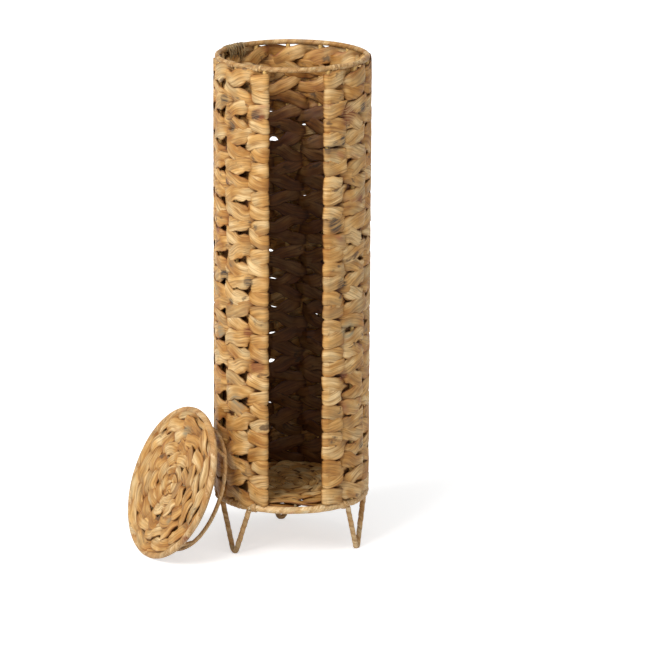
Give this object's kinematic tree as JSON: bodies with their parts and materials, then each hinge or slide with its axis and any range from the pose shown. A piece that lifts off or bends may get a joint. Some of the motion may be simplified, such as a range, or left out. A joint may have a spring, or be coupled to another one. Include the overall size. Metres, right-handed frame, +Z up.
{
  "type": "toilet roll storage basket",
  "caption": "Tall round woven basket on three hairpin legs that stores a column of toilet rolls, with a full-height front slot and a loose woven lid leaning at its side.",
  "frame": {"origin": "on the floor, in the plane of the three feet, on the upright axis of the basket", "axes": "+Z up along the basket's axis; the front slot faces -Y; the lid leans on the -X side"},
  "size_m": [0.2514, 0.1934, 0.5187],
  "materials": {
    "woven_stem": "matte",
    "wound_strip": "satin",
    "stake_strip": "satin",
    "lashing": "satin",
    "wire": "satin"
  },
  "bodies": {
    "basket": {"top_ring_wire": "wire", "top_ring_wrap": "wound_strip", "bottom_ring_wire": "wire", "bottom_ring_wrap": "wound_strip", "stake_wires": "wire", "stake_wraps": "stake_strip", "slot_post_wires": "wire", "slot_post_wraps": "stake_strip", "top_ring_lashings": "lashing", "leg_lashings": "lashing", "leg_left_wire": "wire", "leg_left_wrap": "wound_strip", "leg_right_wire": "wire", "leg_right_wrap": "wound_strip", "leg_back_wire": "wire", "leg_back_wrap": "wound_strip", "base_spokes": "wire", "base_hub": "woven_stem", "base_weave": "woven_stem", "weave_row_01": "woven_stem", "weave_row_02": "woven_stem", "weave_row_03": "woven_stem", "weave_row_04": "woven_stem", "weave_row_05": "woven_stem", "weave_row_06": "woven_stem", "weave_row_07": "woven_stem", "weave_row_08": "woven_stem", "weave_row_09": "woven_stem", "weave_row_10": "woven_stem", "weave_row_11": "woven_stem", "weave_row_12": "woven_stem", "weave_row_13": "woven_stem", "weave_row_14": "woven_stem", "weave_row_15": "woven_stem", "weave_row_16": "woven_stem", "weave_row_17": "woven_stem", "weave_row_18": "woven_stem", "weave_row_19": "woven_stem", "weave_row_20": "woven_stem", "weave_row_21": "woven_stem", "weave_row_22": "woven_stem", "weave_row_23": "woven_stem", "weave_row_24": "woven_stem", "weave_row_25": "woven_stem", "weave_row_26": "woven_stem", "weave_row_27": "woven_stem", "weave_row_28": "woven_stem", "weave_row_29": "woven_stem", "weave_row_30": "woven_stem"},
    "lid": {"lid_rim_wire": "wire", "lid_rim_wrap": "wound_strip", "lid_spokes": "wire", "lid_hub": "woven_stem", "lid_weave": "woven_stem", "lid_struts": "wound_strip", "insert_ring_wire": "wire", "insert_ring_wrap": "wound_strip"}
  },
  "joints": [
    {"name": "lid_lift", "type": "slide", "parent": "basket", "child": "lid", "axis": [-0.3123, -0.1395, 0.9397], "range_m": [0, 0.5]}
  ]
}
